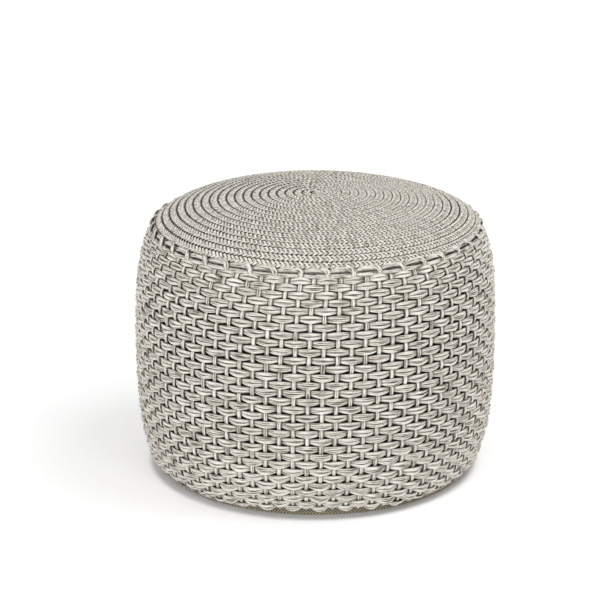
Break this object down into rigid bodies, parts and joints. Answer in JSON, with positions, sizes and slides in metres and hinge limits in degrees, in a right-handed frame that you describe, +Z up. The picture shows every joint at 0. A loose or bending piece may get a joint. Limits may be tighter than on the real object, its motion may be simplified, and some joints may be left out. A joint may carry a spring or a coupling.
{
  "type": "outdoor footstool",
  "caption": "Round outdoor ottoman: a foam drum in a woven rope cover with a braided spiral top, standing on a low mesh base that opens with a zip.",
  "frame": {"origin": "on the axis of the round body, on the floor that the base band stands on", "axes": "+Z up along the body's axis, -Y towards the viewer, +X to the viewer's right; the zip lies along X and is closed towards +X"},
  "size_m": [0.56, 0.5601, 0.431],
  "materials": {
    "cord": "braided outdoor cord, matt taupe with a pale fleck",
    "braid": "flat plaited outdoor braid, matt pale taupe",
    "mesh": "coated outdoor mesh, matt brown grey",
    "liner": "plain woven lining, dark taupe",
    "foam": "open cell quick drying foam",
    "zip_tape": "woven zip tape, brown grey",
    "zip_teeth": "moulded zip teeth, satin",
    "zip_metal": "painted die casting, satin grey"
  },
  "bodies": {
    "body": {"woven_side": "cord", "rim_cord_upper": "cord", "rim_cord_lower": "cord", "hem_cord": "cord", "top_braid_coil": "braid", "liner_top": "liner", "liner_side": "liner", "liner_base": "liner", "foam_core": "foam", "foam_crown": "foam", "base_band": "mesh", "base_panel_back": "mesh", "base_panel_front": "mesh", "zip_tape_back": "zip_tape", "zip_tape_front": "zip_tape", "zip_teeth_back": "zip_teeth", "zip_teeth_front": "zip_teeth", "zip_stop_closed": "zip_metal", "zip_stop_open": "zip_metal"},
    "slider": {"zip_slider": "zip_metal"},
    "pull": {"zip_pull": "zip_metal"}
  },
  "joints": [
    {"name": "zip_slide", "type": "slide", "parent": "body", "child": "slider", "axis": [-1, 0, 0], "range_m": [0, 0.407]},
    {"name": "pull_swing", "type": "hinge", "parent": "slider", "child": "pull", "pos_m": [0.2037, 0, 0.0069], "axis": [0, -1, 0], "range_deg": [0, 170]}
  ]
}
